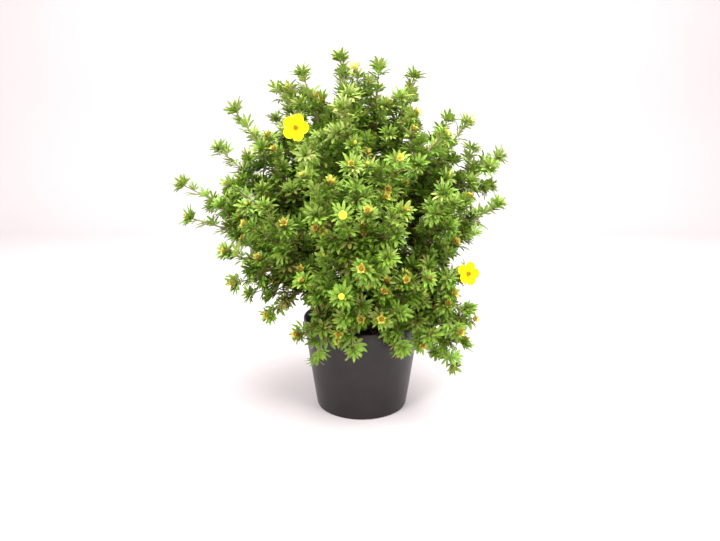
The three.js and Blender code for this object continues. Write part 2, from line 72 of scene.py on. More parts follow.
# Stems, the same curves as in the CAD
CROWN_TOP = 112
CROWN_SPREAD = 10.5
CROWN_PROFILE = [(0, 84), (12.5, 84), (13.5, 92), (13.2, 99), (12, 104)]
CROWN_PROFILE += [(10.8, 109), (8, 112), (0, 112.5)]
CROWN_SEGMENTS = 20
ROOT_SINK = 3
WIDE_TIP = 160
STEM_RADII = (2.6, 1.7)
STEM_WOOD_SHARE = 0.48
STEM_LEAN = 0.3
STEM_LEAN_STEP = 0.06
STEM_RISE = 0.55
BRANCH_FIRST = 0.4
BRANCH_LAST = 0.2
BRANCH_ANGLE = 0.8
BRANCH_STEP = 0.05
BRANCH_BOW = 0.3
BRANCH_FOLLOW = 0.2
LOW_TIP = 125
LOW_LEAN = 0.5
RIM_CLEARANCE = 14
TWIG_RADIUS = 1.4
TWIG_STATIONS = (0.3, 0.7)
BRANCH_STATIONS = (0.4, 0.76)
BRANCH_RADII = (1.7, 1.4)
BRANCH_OVERLAP = 0.03
JOIN_CLEARANCE = 0.3
JOIN_STEP = 0.5
WOOD_STEP = 9
WOOD_WANDER = 0.35
WOOD_SWELLING = (0.9, 1.12)

# Side shoots and leaves, the same draws as in the CAD
SHOOT_STARTS = (0.15, 0.6)
SHOOT_TRIES = 5
SHOOT_SEED = 1000
SHOOT_LENGTHS = (24.8, 37.2)
SHOOT_ANGLE = 0.95
SHOOT_TURN = 2.6
SHOOT_RETRY_TURN = 1.9
GOLDEN_ANGLE = math.pi * (3 - math.sqrt(5))
LEAFLET_LENGTH = 15.5
LEAF_STALK = 11
LEAF_ARCH = 2.6
LEAFLETS = ((-1.35, 0.8), (-0.68, 0.95), (0, 1), (0.68, 0.95), (1.35, 0.8))
LEAF_SCALES = (0.92, 1.08)
LEAF_OPENING = 1
LEAF_TURN_PLAY = (0.4, 0.35)
LEAF_OPENING_PLAY = (0.2, 0.08)
LEAF_STARTS = (0.35, 0.6, -0.5)
LEAF_SEED = 5000
LEAF_TRIES = 14
# How near to the CAD form a shoot or a leaf found again has to lie
SHOOT_MATCH = 3
LEAF_MATCH = 1.2

# One finer leaf, as shares of its full length
LEAF_KINDS = 12
LEAFLET_LENGTHS = (0.9, 1.04)
LEAFLET_WIDTHS = (0.22, 0.275)
LEAFLET_FOLDS = (0.25, 0.6)
LEAFLET_ARCHES = (0.02, 0.22)
LEAFLET_RAISES = (-0.15, 0.25)
LEAFLET_FAN = 0.86
LEAFLET_FAN_PLAY = 0.13
LEAFLET_SETBACK = 0.12
LEAF_STALK_RADII = (0.55, 0.42, 0.36)

# Finer leaves and shoots added along the twigs. Full sprays have a fullness over 1.
TWIG_SPACING = 7
SHOOT_SPACING = 6
NODE_OPENING = 1.1
NODE_OPENING_PLAY = 0.28
AXIL_SHARES = (1, 0.8, 0.62)
PLACE_TRIES = 4
ROSETTE_LEAVES = 8
ROSETTE_TURN = 2.4
ROSETTE_STALK = 1.2
EXTRA_SHOOT_SPACING = 11
EXTRA_SHOOT_LENGTHS = (14, 34)
EXTRA_SHOOT_TURN = 2.1
EXTRA_SHOOT_LAST = 0.9
OUTREACH = 21
EXTRA_OUTREACH = 44
FULLNESS = {0: 0.75, 1: 0.75, 3: 0.6, 5: 1.2, 10: 1.1, 16: 0.8, 17: 1.15, 20: 1.2, 21: 0.8}
FULLNESS |= {22: 1.2, 35: 0.65, 36: 0.65}
BOX_SLACK = 7

# Low leaves are older and drier
OLD_BELOW = 350
OLDEST_AT = 130
LOW_AGE = 0.34
LOW_DRYNESS = 0.17

# Old leafy shoots inside the shrub, front stems first and back stems second
INNER_FROM = 0.26
INNER_SPACING = (12, 9)
INNER_LENGTHS = (16, 42)

# Calyces and flowers
CALYX_STALK = 9
CALYX_SINK = 2.2
CALYX_SEAT = CALYX_STALK - CALYX_SINK
CALYX_STALKS = (6, 10)
TIP_CALYX = 5.6
SHOOT_CALYX = 7
SHOOT_CALYX_CHANCE = 0.6
EXTRA_CALYX_CHANCES = (0.15, 0.36)
CLUSTERED = range(26, 38)
TIP_SINK = 1.5
FLOWER_SEAT = 3.4
FLOWER_CLEARANCE = 2.5
PETAL_LENGTH = 14.5
PETAL_LIFTS = (0, 0.7, 0, 0.7, 0.3)
STAMENS = 30
# Petals that lean up by this much or more are closed, or nearly so
HALF_CLOSED = 0.9
CLOSED = 1.2
LOW_BUD = {"index": 29, "size": 0.38, "seat": 0.8}

# Places of the looks in a piece's list of materials
LEAVES, TWIGS, SPENT, SEPALS, BUDS = range(5)
OLD_WOOD = 2
PETALS, STAMEN_TIPS = range(2)

STEMS = [
    [((-209, -30, 288), "calyx"), ((-197, -50, 252), "calyx")],
    [((-167, -20, 329), ""), ((-148, -62, 291), "calyx")],
    [((-148, -10, 372), ""), ((-90, 22, 398), "")],
    [((-69, 0, 414), ""), ((-66, -104, 355), "flower")],
    [((-25, 0, 431), "calyx"), ((-20, -90, 374), ""), ((-5, -12, 410), "flower")],
    [((20, 8, 422), ""), ((-10, -140, 318), "calyx")],
    [((61, 0, 411), "calyx"), ((90, -52, 345), "calyx"), ((36, -104, 322), "flower")],
    [((123, -8, 359), ""), ((164, 2, 318), "")],
    [((161, -22, 264), ""), ((88, -96, 286), "")],
    [((118, -68, 192), "flower"), ((119, -80, 153), "")],
    [((106, -80, 84), ""), ((46, -92, 112), ""), ((119, -76, 108), "")],
    [
        ((-19, -149, 270), "flower"),
        ((-56, -138, 305), "calyx"),
        ((40, -138, 272), "calyx"),
        ((26, -150, 228), ""),
    ],
    [
        ((-20, -140, 184), "calyx"),
        ((68, -118, 197), "calyx"),
        ((40, -118, 160), ""),
        ((-60, -130, 197), "calyx"),
    ],
    [
        ((-146, -98, 222), "calyx"),
        ((-102, -108, 272), ""),
        ((-122, -56, 184), ""),
        ((-106, -60, 163), ""),
    ],
    [((-52, -86, 94), ""), ((-10, -101, 111), "")],
]
BACK_STEMS = 5
BACK_FIRST_AZIMUTH = 0.3
BACK_AZIMUTH_STEP = 0.63
BACK_TIPS = ((0, 112, 362), (-0.22, 158, 282), (0.24, 132, 182))
BACK_RISE = 26

FLOWERS = [
    {"name": name, "spread": spread, "size": size, "facing": facing, "petals": petals}
    for name, spread, size, facing, petals in (
        ("flower_upper_left", 0.16, 1, (-0.15, -1, 0.1), "fresh"),
        ("flower_top", 0.75, 0.75, (-0.2, -0.35, 0.92), "faded"),
        ("flower_half_open", 1.05, 0.6, (0.2, -1, 0.3), "faded"),
        ("flower_right", 0.3, 1, (0.35, -0.95, 0.15), "fresh"),
        ("bud_front", 1.25, 0.5, (0, -1, 0.3), "bud"),
    )
]

UP = np.array([0.0, 0.0, 1.0])


# Seeds of the draws that the CAD doesn't share
KIND_SEED = 77
SPRAY_SEED = 9000
FLOWER_SEED = 4000
SOIL_SEED = 321
WOOD_SEED = 55
INNER_SEED = 66


class Draws:
    """The repeatable stream of numbers that the CAD uses too."""

    def __init__(self, seed):
        self.state = (seed * 2654435761) % 4294967296

    def next(self):
        self.state = (self.state * 1664525 + 1013904223) % 4294967296
        return self.state / 4294967296

    def between(self, low, high):
        return low + (high - low) * self.next()

    def around(self, spread):
        return (self.next() - 0.5) * 2 * spread


def unit(v):
    return v / max(np.linalg.norm(v), 1e-9)


def frame_along(along):
    side = np.cross(UP, along)
    side = np.array([1.0, 0, 0]) if side @ side < 1e-4 else unit(side)
    return side, unit(np.cross(along, side))


class Bend:
    """A quadratic curve, or a stretch of one."""

    def __init__(self, root, middle, tip, start=0.0, end=1.0):
        self.knots = [np.asarray(p, float) for p in (root, middle, tip)]
        self.range = (start, end)

    def share(self, s):
        return self.range[0] + (self.range[1] - self.range[0]) * s

    def point(self, s):
        t = self.share(s)
        a, b, c = self.knots
        return (1 - t) ** 2 * a + 2 * t * (1 - t) * b + t * t * c

    def tangent(self, s):
        t = self.share(s)
        a, b, c = self.knots
        return unit(2 * (1 - t) * (b - a) + 2 * t * (c - b))

    def length(self):
        points = [self.point(s) for s in np.linspace(0, 1, 41)]
        return sum(np.linalg.norm(q - p) for p, q in zip(points, points[1:]))

    def cut(self, start, end):
        return Bend(*self.knots, self.share(start), self.share(end))


def arch_over_rim(root, tip):
    """Height of a low stem's middle knot, so that the stem clears the rim at three quarters."""
    return (POT_HEIGHT + RIM_CLEARANCE - root[2] / 16 - (9 / 16) * tip[2]) * (8 / 3)


def stem_curve(tip, index):
    tip = np.asarray(tip, float)
    azimuth = math.atan2(tip[1], tip[0])
    offset = CROWN_SPREAD * min(1, math.hypot(tip[0], tip[1]) / WIDE_TIP)
    root = np.array([offset * math.cos(azimuth), offset * math.sin(azimuth), CROWN_TOP - ROOT_SINK])
    lean = STEM_LEAN + STEM_LEAN_STEP * (index % 3)
    middle = np.array([tip[0] * lean, tip[1] * lean, root[2] + STEM_RISE * (tip[2] - root[2])])
    if tip[2] < LOW_TIP:
        middle = np.array([tip[0] * LOW_LEAN, tip[1] * LOW_LEAN, arch_over_rim(root, tip)])
    return Bend(root, middle, tip)


def branch_curve(parent, tip):
    tip = np.asarray(tip, float)

    def angle_at(at):
        return math.acos(np.clip(parent.tangent(at) @ unit(tip - parent.point(at)), -1, 1))

    share = BRANCH_FIRST
    while share > BRANCH_LAST and angle_at(share) > BRANCH_ANGLE:
        share -= BRANCH_STEP
    root = parent.point(share)
    middle = root + (tip - root) * BRANCH_BOW
    middle += parent.tangent(share) * BRANCH_FOLLOW * np.linalg.norm(tip - root)
    if tip[2] < LOW_TIP:
        middle[2] = arch_over_rim(root, tip)
    return Bend(root, middle, tip)


def outside_share(curve, stem):
    """Share of a branch at which it comes out of its stem."""
    line = np.array([stem.point(s) for s in np.linspace(0, 1, 200)])
    length = curve.length()
    start = 0.0
    clear = STEM_RADII[1] * 0.85 + TWIG_RADIUS + JOIN_CLEARANCE
    while np.min(np.linalg.norm(line - curve.point(start / length), axis=1)) < clear:
        start += JOIN_STEP
    return start / length


def wall_faces(rings, sides):
    """Triangles between closed rings of vertices that follow one another."""
    faces = []
    for ring in range(rings - 1):
        for k in range(sides):
            a, b = ring * sides + k, ring * sides + (k + 1) % sides
            faces += [(a, b, b + sides), (a, b + sides, a + sides)]
    return faces


class Shape:
    """Vertices, triangles, material numbers and tints of one piece, gathered bit by bit."""

    def __init__(self):
        self.verts, self.faces, self.looks, self.tints, self.count = [], [], [], [], 0

    def add(self, verts, faces, look, tints):
        self.verts.append(verts)
        self.faces.append(np.asarray(faces, int) + self.count)
        self.looks.append(np.full(len(faces), look))
        self.tints.append(tints)
        self.count += len(verts)

    def tube(self, points, radii, sides, look, tints, closed=True):
        """A round tube through points, with closed or open ends and one tint for each point."""
        points = np.asarray(points, float)
        tangents = np.gradient(points, axis=0)
        side, _ = frame_along(unit(tangents[0]))
        angles = np.linspace(0, 2 * math.pi, sides, endpoint=False)
        rings = []
        for point, tangent, radius in zip(points, tangents, radii):
            along = unit(tangent)
            side = unit(side - along * (side @ along))
            lift = np.cross(along, side)
            circle = np.outer(np.cos(angles), side) + np.outer(np.sin(angles), lift)
            rings.append(point + radius * circle)
        verts = np.concatenate([*rings, points[:1], points[-1:]])
        faces = wall_faces(len(points), sides)
        first, last = len(verts) - 2, len(verts) - 1
        top = (len(points) - 1) * sides
        for k in range(sides * closed):
            faces += [(first, (k + 1) % sides, k), (last, top + k, top + (k + 1) % sides)]
        rows = np.repeat(np.asarray(tints, float), sides, axis=0)
        self.add(verts, faces, look, np.concatenate([rows, [tints[0]], [tints[-1]]]))

    def twig(self, curve, count, radii, sides, age, fade=1):
        """A tapered twig through `count` points of a curve, old at its root, young at its tip."""
        steps = np.linspace(0, 1, count)
        sizes = radii[0] + (radii[1] - radii[0]) * steps
        tints = [(age * (1 - s) ** fade, 0, 0) for s in steps]
        self.tube([curve.point(s) for s in steps], sizes, sides, TWIGS, tints)


def make_piece(shape, name, node, looks):
    mesh = bpy.data.meshes.new(name)
    metres = np.concatenate(shape.verts) / 1000
    mesh.from_pydata(metres.tolist(), [], np.concatenate(shape.faces).tolist())
    for look in looks:
        mesh.materials.append(look)
    mesh.polygons.foreach_set("material_index", np.concatenate(shape.looks).astype(np.int32))
    mesh.polygons.foreach_set("use_smooth", np.ones(len(mesh.polygons), bool))
    colors = mesh.color_attributes.new("tint", "FLOAT_COLOR", "POINT")
    tints = np.concatenate(shape.tints)
    colors.data.foreach_set("color", np.c_[tints, np.ones(len(tints))].astype(np.float32).ravel())
    mesh.validate()
    piece = bpy.data.objects.new(name, mesh)
    bpy.context.scene.collection.objects.link(piece)
    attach(piece, "root")
    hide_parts(node)
    return piece


# Materials


class Nodes:
    """A new material with a few helpers to wire its nodes."""

    def __init__(self, name, roughness, specular=0.4):
        self.material = bpy.data.materials.new(name)
        self.material.use_nodes = True
        self.tree = self.material.node_tree
        self.shader = self.tree.nodes["Principled BSDF"]
        self.shader.inputs["Roughness"].default_value = roughness
        self.shader.inputs["Specular IOR Level"].default_value = specular
        self.place = self.new("ShaderNodeTexCoord").outputs["Object"]

    def new(self, kind):
        return self.tree.nodes.new(kind)

    def link(self, source, target):
        self.tree.links.new(source, target)

    def tint(self):
        split = self.new("ShaderNodeSeparateColor")
        reader = self.new("ShaderNodeAttribute")
        reader.attribute_name = "tint"
        self.link(reader.outputs["Color"], split.inputs["Color"])
        return split.outputs

    def ramp(self, value, stops):
        node = self.new("ShaderNodeValToRGB")
        ramp = node.color_ramp
        while len(ramp.elements) < len(stops):
            ramp.elements.new(0.5)
        for element, (at, color) in zip(ramp.elements, stops):
            element.position = at
            element.color = (*color, 1)
        self.link(value, node.inputs["Fac"])
        return node.outputs["Color"]

    def noise(self, scale, detail=3, stretch=None):
        node = self.new("ShaderNodeTexNoise")
        node.inputs["Scale"].default_value = scale
        node.inputs["Detail"].default_value = detail
        place = self.place
        if stretch:
            mapping = self.new("ShaderNodeMapping")
            mapping.inputs["Scale"].default_value = stretch
            self.link(place, mapping.inputs["Vector"])
            place = mapping.outputs["Vector"]
        self.link(place, node.inputs["Vector"])
        return node.outputs["Fac"]

    def mix(self, share, a, b, kind="MIX"):
        node = self.new("ShaderNodeMix")
        node.data_type = "RGBA"
        node.blend_type = kind
        for value, socket in ((share, node.inputs[0]), (a, node.inputs[6]), (b, node.inputs[7])):
            if isinstance(value, bpy.types.NodeSocket):
                self.link(value, socket)
            else:
                socket.default_value = value if isinstance(value, float) else (*value, 1)
        return node.outputs[2]

    def mask(self, value, stops):
        """A ramp of greys."""
        return self.ramp(value, [(at, (level,) * 3) for at, level in stops])

    def times(self, base, color):
        return self.mix(1.0, base, color, "MULTIPLY")

    def vary(self, share, base, color):
        """The base colour, multiplied by another where the share is high."""
        return self.mix(share, base, self.times(base, color))

    def color(self, value):
        self.link(value, self.shader.inputs["Base Color"])

    def bump(self, height, strength, distance):
        node = self.new("ShaderNodeBump")
        node.inputs["Strength"].default_value = strength
        node.inputs["Distance"].default_value = distance
        self.link(height, node.inputs["Height"])
        self.link(node.outputs["Normal"], self.shader.inputs["Normal"])


def leaf_look():
    look = Nodes("cinquefoil_leaf", 0.48, 0.26)
    age, across, chance = look.tint()[:3]
    green = look.ramp(
        age,
        [
            (0.0, (0.41, 0.41, 0.15)),
            (0.3, (0.27, 0.345, 0.05)),
            (0.65, (0.145, 0.265, 0.008)),
            (1.0, (0.075, 0.148, 0.002)),
        ],
    )
    green = look.vary(chance, green, (0.58, 1.0, 0.4))
    # some grown leaves are dry all over, and more of them only at their rims
    dry = look.mask(chance, [(0.84, 0), (0.94, 0.75)])
    rim = look.mask(across, [(0.45, 0), (0.9, 0.75)])
    worn = look.mask(chance, [(0.45, 0), (0.75, 1)])
    dry = look.mix(1.0, dry, look.times(rim, worn), "LIGHTEN")
    grown = look.mask(age, [(0.45, 0), (0.7, 1)])
    leaf = look.mix(look.times(dry, grown), green, (0.26, 0.155, 0.05))
    leaf = look.vary(look.noise(700), leaf, (1.15, 1.1, 1.2))
    pale = look.mask(across, [(0.0, 0.3), (0.22, 0), (0.6, 0), (1.0, 0.4)])
    look.color(look.mix(pale, leaf, (0.54, 0.54, 0.2)))
    look.bump(look.noise(1600, 2), 0.35, 0.0004)
    return look.material


def twig_look():
    look = Nodes("young_bark", 0.6, 0.3)
    age = look.tint()[0]
    base = look.ramp(
        age,
        [
            (0.0, (0.30, 0.30, 0.10)),
            (0.4, (0.36, 0.22, 0.12)),
            (0.75, (0.20, 0.10, 0.055)),
            (1.0, (0.085, 0.048, 0.03)),
        ],
    )
    streaks = look.noise(900, 4, (1, 1, 0.15))
    look.color(look.mix(streaks, look.times(base, (0.7, 0.68, 0.66)), base))
    look.bump(streaks, 0.5, 0.0005)
    return look.material


def bark_look():
    look = Nodes("old_bark", 0.85, 0.2)
    streaks = look.noise(420, 6, (1, 1, 0.12))
    peel = look.noise(130, 4, (1, 1, 0.3))
    brown = look.ramp(
        streaks,
        [(0.3, (0.035, 0.021, 0.014)), (0.55, (0.10, 0.058, 0.036)), (0.75, (0.20, 0.125, 0.08))],
    )
    look.color(look.mix(look.mask(peel, [(0.55, 0), (0.7, 0.6)]), brown, (0.26, 0.16, 0.10)))
    look.bump(streaks, 0.8, 0.0012)
    return look.material


def calyx_look():
    look = Nodes("spent_flower", 0.7, 0.2)
    out, _, chance = look.tint()[:3]
    ochre = look.ramp(
        out,
        [
            (0.0, (0.13, 0.06, 0.01)),
            (0.35, (0.37, 0.22, 0.02)),
            (0.7, (0.58, 0.43, 0.045)),
            (1.0, (0.46, 0.44, 0.09)),
        ],
    )
    ochre = look.vary(chance, ochre, (0.8, 0.92, 0.8))
    look.color(look.vary(look.noise(900), ochre, (1.25, 1.15, 1.0)))
    look.bump(look.noise(1500), 0.5, 0.0005)
    return look.material


def petal_look(name, inner, outer):
    look = Nodes(name, 0.6, 0.1)
    # the petal's base, up to three tenths of its length, is darker and more orange than its blade:
    # painted shade round the flower's middle
    base = look.ramp(look.tint()[0], [(0.0, inner), (0.3, outer), (1.0, outer)])
    veins = look.noise(500, 2)
    look.color(look.vary(veins, base, (0.97, 0.93, 0.6)))
    look.bump(veins, 0.25, 0.0004)
    return look.material


def stamen_look():
    look = Nodes("stamens", 0.6, 0.25)
    ochre = look.ramp(
        look.tint()[0],
        [(0.0, (0.34, 0.27, 0.02)), (0.6, (0.58, 0.42, 0.015)), (1.0, (0.42, 0.25, 0.01))],
    )
    look.color(look.vary(look.noise(1500), ochre, (1.1, 0.85, 0.7)))
    return look.material


def pot_look():
    look = Nodes("charcoal_plastic", 0.3, 0.33)
    grain = look.noise(60, 6)
    look.color(look.ramp(grain, [(0.3, (0.0105, 0.007, 0.0072)), (0.7, (0.0155, 0.0105, 0.0108))]))
    rough = look.new("ShaderNodeMapRange")
    rough.inputs["To Min"].default_value = 0.27
    rough.inputs["To Max"].default_value = 0.4
    look.link(look.noise(25, 5, (1, 1, 0.3)), rough.inputs["Value"])
    look.link(rough.outputs["Result"], look.shader.inputs["Roughness"])
    look.bump(look.noise(1200, 3), 0.12, 0.0003)
    return look.material


def soil_look():
    look = Nodes("potting_soil", 0.95, 0.15)
    crumb = look.noise(260, 8)
    brown = look.ramp(
        crumb,
        [(0.3, (0.012, 0.008, 0.006)), (0.55, (0.045, 0.028, 0.018)), (0.75, (0.11, 0.072, 0.045))],
    )
    look.color(look.vary(look.tint()[2], brown, (1.6, 1.4, 1.2)))
    look.bump(crumb, 0.9, 0.002)
    return look.material


LEAF = leaf_look()
TWIG = twig_look()
BARK = bark_look()
CALYX = calyx_look()
# each petal look's first colour is its darker base, painted shade round the flower's middle
PETAL = petal_look("petal", (0.92, 0.70, 0.01), (1.0, 0.88, 0.003))
FADED = petal_look("faded_petal", (0.72, 0.60, 0.12), (0.86, 0.80, 0.24))
BUD = petal_look("bud_petal", (0.72, 0.58, 0.05), (0.88, 0.77, 0.075))
FLOWER_LOOKS = {"fresh": PETAL, "faded": FADED, "bud": BUD}
STAMEN = stamen_look()
POT = pot_look()
SOIL = soil_look()


# Leaves


def leaflet(length, width, fold, arch, steps=4, blunt=0.7):
    """A narrow folded blade along +Y: vertices, triangles and each vertex's share across it."""
    verts, across = [(0, 0, 0)], [0.0]
    for t in np.linspace(0, 1, steps + 1)[1:-1] ** blunt:
        half = width / 2 * math.sin(math.pi * t**1.15) ** 0.55
        sag = -arch * t * t
        verts += [
            (-half * math.cos(fold), length * t, sag + half * math.sin(fold)),
            (0, length * t, sag),
            (half * math.cos(fold), length * t, sag + half * math.sin(fold)),
        ]
        across += [1.0, 0.0, 1.0]
    verts.append((0, length, -arch))
    across.append(0.5)
    tip = len(verts) - 1
    faces = [(0, 2, 1), (0, 3, 2)]
    for row in range(steps - 2):
        a = 1 + 3 * row
        faces += [(a, a + 1, a + 4), (a, a + 4, a + 3)]
        faces += [(a + 1, a + 2, a + 5), (a + 1, a + 5, a + 4)]
    a = tip - 3
    faces += [(a, a + 1, tip), (a + 1, a + 2, tip)]
    return np.array(verts, float), faces, np.array(across)


def turned(verts, angle, raised):
    """Tilts a blade up by `raised`, then turns it about +Z away from +Y."""
    c, s = math.cos(raised), math.sin(raised)
    verts = verts @ np.array([[1, 0, 0], [0, c, s], [0, -s, c]])
    c, s = math.cos(angle), math.sin(angle)
    return verts @ np.array([[c, -s, 0], [s, c, 0], [0, 0, 1]])


def leaf_kind(draws):
    """A hand of leaflets round the origin, without its stalk. Its middle one is about 1 long."""
    verts, faces, across, count = [], [], [], 0
    for angle, share in LEAFLETS:
        blade, triangles, out = leaflet(
            share * draws.between(*LEAFLET_LENGTHS),
            draws.between(*LEAFLET_WIDTHS),
            draws.between(*LEAFLET_FOLDS),
            draws.between(*LEAFLET_ARCHES),
            4 if abs(angle) < 1 else 3,
        )
        fan = angle * LEAFLET_FAN + draws.around(LEAFLET_FAN_PLAY)
        blade = turned(blade, fan, draws.between(*LEAFLET_RAISES))
        blade[:, 1] -= LEAFLET_SETBACK * abs(angle)
        verts.append(blade)
        faces += [tuple(v + count for v in face) for face in triangles]
        across.append(out)
        count += len(blade)
    return np.concatenate(verts), np.array(faces), np.concatenate(across)


kind_draws = Draws(KIND_SEED)
KINDS = [leaf_kind(kind_draws) for _ in range(LEAF_KINDS)]


def add_leaf(shape, base, direction, normal, stalk, size, age, draws):
    """One leaf on its stalk, with its blade's middle leaflet along `direction`."""
    y = unit(direction)
    z = unit(normal - y * (normal @ y))
    x = np.cross(y, z)
    hub = base + y * stalk
    low = min(1, max(0, (OLD_BELOW - base[2]) / (OLD_BELOW - OLDEST_AT)))
    age += LOW_AGE * low
    verts, faces, across = KINDS[int(draws.next() * LEAF_KINDS)]
    placed = hub + size * (verts @ np.array([x, y, z]))
    chance = draws.next() + LOW_DRYNESS * low
    # painted shade: darker round the hub, where the leaflets meet, made by raising the tint's age
    # there
    ages = np.clip(age + 0.12 * (verts[:, 1] < 0.2), 0, 1)
    shape.add(placed, faces, LEAVES, np.c_[ages, across, np.full(len(verts), chance)])
    bow = base + y * stalk * 0.5 - z * 0.05 * stalk
    tints = [(0.15 + 0.2 * age, 0, 0)] * 3
    shape.tube([base, bow, hub + y * 0.08 * size], LEAF_STALK_RADII, 3, TWIGS, tints, closed=False)


def leaf_direction(along, azimuth, opening):
    side, lift = frame_along(along)
    out = math.cos(azimuth) * side + math.sin(azimuth) * lift
    return along * math.cos(opening) + out * math.sin(opening), out


class Form:
    """The CAD form of a node, to keep the finer piece to its reach."""

    def __init__(self, node, slack=BOX_SLACK):
        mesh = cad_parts[node].data
        verts = [v.co * 1000 for v in mesh.vertices]
        self.tree = BVHTree.FromPolygons(verts, [tuple(p.vertices) for p in mesh.polygons])
        corners = np.array(verts)
        size = np.ptp(corners, axis=0)
        self.bloom = None
        self.low = corners.min(0) - slack - 0.02 * size
        self.high = corners.max(0) + slack + 0.02 * size

    def distance(self, point):
        return self.tree.find_nearest(Vector(point))[3]

    def open_to(self, points):
        """Whether points stay in the box and clear of the spray's flower."""
        points = np.asarray(points)
        if (points < self.low).any() or (points > self.high).any():
            return False
        if self.bloom:
            seat, facing, radius = self.bloom
            off = points - seat
            return not ((np.linalg.norm(off, axis=1) < radius) & (off @ facing > -3)).any()
        return True

    def holds(self, points, slack):
        if not self.open_to(points):
            return False
        return all(self.distance(p) < slack for p in points)


def leafy(shape, form, curve, start, spacing, sizes, ages, draws, young=True, slack=OUTREACH):
    """Leaves all along a twig in a spiral, smaller and more upright towards its tip."""
    length = curve.length()
    at = start
    azimuth = draws.next() * 6.28
    while at < 1:
        share = (at - start) / (1 - start)
        azimuth += GOLDEN_ANGLE + draws.around(0.4)
        along = curve.tangent(at)
        base = curve.point(at)
        # a node bears one grown leaf with smaller ones in its axil
        for order in range(2 + (draws.next() < 0.5)):
            for attempt in range(PLACE_TRIES):
                opening = NODE_OPENING - 0.35 * share - 0.22 * order
                opening += draws.around(NODE_OPENING_PLAY)
                turn = azimuth + attempt * 1.3 + order * draws.between(-1.3, 1.3)
                direction, out = leaf_direction(along, turn, opening)
                size = (sizes[0] + (sizes[1] - sizes[0]) * share) * draws.between(0.85, 1.15)
                size *= (1 - 0.08 * attempt) * AXIL_SHARES[order]
                stalk = size * draws.between(0.2, 0.6)
                reach = direction * (stalk + size)
                if form.open_to([base + reach * 0.6]) and form.holds([base + reach], slack):
                    normal = along * 0.5 + UP * 0.7 + out * draws.around(0.3)
                    age = ages[0] + (ages[1] - ages[0]) * share + draws.around(0.16)
                    add_leaf(shape, base, direction, normal, stalk, size, age, draws)
                    break
        at += spacing * draws.between(0.6, 1.4) / length
    # a rosette closes the tip, or opens wide and grown where a flower stalk comes out of it
    tip, along = curve.point(1), curve.tangent(1)
    spread = draws.between(0.08, 0.17 if young else 0.13)
    for k in range(ROSETTE_LEAVES):
        opening = (0.2 if young else 0.5) + spread * k + draws.around(0.2)
        turn = k * ROSETTE_TURN + azimuth + draws.around(0.4)
        direction, out = leaf_direction(along, turn, opening)
        size = sizes[1] * draws.between(0.8, 1.2)
        normal = along + 0.4 * UP + 0.3 * draws.around(1) * out
        age = ages[1] + (0 if young else 0.14) + 0.03 * k + draws.around(0.22)
        if form.open_to([tip + direction * size * 0.6, tip + direction * (size + 3)]):
            add_leaf(shape, tip, direction, normal, ROSETTE_STALK + 0.4 * k, size, age, draws)


def add_stalk(shape, base, seat, radii, ages):
    points = [base, base + (seat - base) * 0.5, seat]
    shape.tube(points, radii, 5, TWIGS, [(age, 0, 0) for age in ages])


def add_calyx(shape, base, facing, stalk, size, draws, look=SPENT):
    """A spent flower: five sepals and five narrower ones between them, round a bristly dome."""
    z = unit(facing)
    x, y = frame_along(z)
    axes = np.array([x, y, z])
    seat = base + z * stalk
    add_stalk(shape, base, seat, (0.7, 0.6, 1.1), (0.2, 0.15, 0.1))
    chance = draws.next()
    for k in range(10):
        long, wide = (1, 0.52) if k % 2 == 0 else (0.85, 0.3)
        blade, faces, across = leaflet(size * long, size * wide, 0.4, -0.3 * size, 4, 1.15)
        blade = turned(blade, k * math.pi / 5 + draws.around(0.08), draws.between(0.15, 0.65))
        out = np.clip(0.35 + blade[:, 2] / size + 0.3 * across, 0, 1)
        shape.add(seat + blade @ axes, faces, look, np.c_[out, across, np.full(len(blade), chance)])
    rings, sides = 4, 8
    verts, tints = [], []
    for ring in range(rings):
        tilt = ring / rings * math.pi / 2
        height = 0.45 * size * math.sin(tilt)
        for k in range(sides):
            angle = 2 * math.pi * (k + ring / 2) / sides
            radius = 0.5 * size * math.cos(tilt) * draws.between(0.85, 1.12)
            verts.append((radius * math.cos(angle), radius * math.sin(angle), height))
            tints.append((0.25 * draws.next(), 0, chance))
    verts.append((0, 0, 0.5 * size))
    tints.append((0.1, 0, chance))
    faces = wall_faces(rings, sides)
    top = (rings - 1) * sides
    faces += [(top + k, top + (k + 1) % sides, rings * sides) for k in range(sides)]
    shape.add(seat + np.array(verts) @ axes, faces, look, np.array(tints))


def calyx_facing(shoot):
    """A calyx looks up and away from the shrub's middle."""
    out = shoot.point(1) * np.array([1, 1, 0])
    return shoot.tangent(1) + 0.4 * UP + 0.6 * unit(out)


def add_bud(shape, base, facing, stalk, size, draws):
    """A closed pointed bud wrapped in its sepals."""
    z = unit(facing)
    seat = base + z * stalk
    points = [seat + z * size * t for t in (0, 0.2, 0.5, 0.8, 1)]
    radii = [size * r for r in (0.2, 0.42, 0.46, 0.28, 0.05)]
    chance = draws.next()
    add_stalk(shape, base, seat, (0.6, 0.5, 0.7), (0.2, 0.1, 0.05))
    shape.tube(points, radii, 8, SPENT, [(0.75 + 0.06 * k, 0, chance) for k in range(5)])


# Sprays


def side_shoots(curve, stations, index, form):
    """The side shoots that the CAD holds, found from its own draws and its form."""
    draws = Draws(SHOOT_SEED + index)
    starts = SHOOT_STARTS if stations is TWIG_STATIONS else SHOOT_STARTS[1:]
    found = []
    for k, share in enumerate(starts):
        at = stations[0] + (stations[1] - stations[0]) * share
        along = curve.tangent(at)
        root = curve.point(at)
        for attempt in range(SHOOT_TRIES):
            azimuth = index + k * SHOOT_TURN + attempt * SHOOT_RETRY_TURN + draws.next()
            length = draws.between(*SHOOT_LENGTHS)
            direction, _ = leaf_direction(along, azimuth, SHOOT_ANGLE)
            end = root + direction * length + along * length / 4
            shoot = Bend(root, root + direction * length / 2, end)
            if form.holds([shoot.point(0.5), end], SHOOT_MATCH):
                found.append(shoot)
                break
    return found


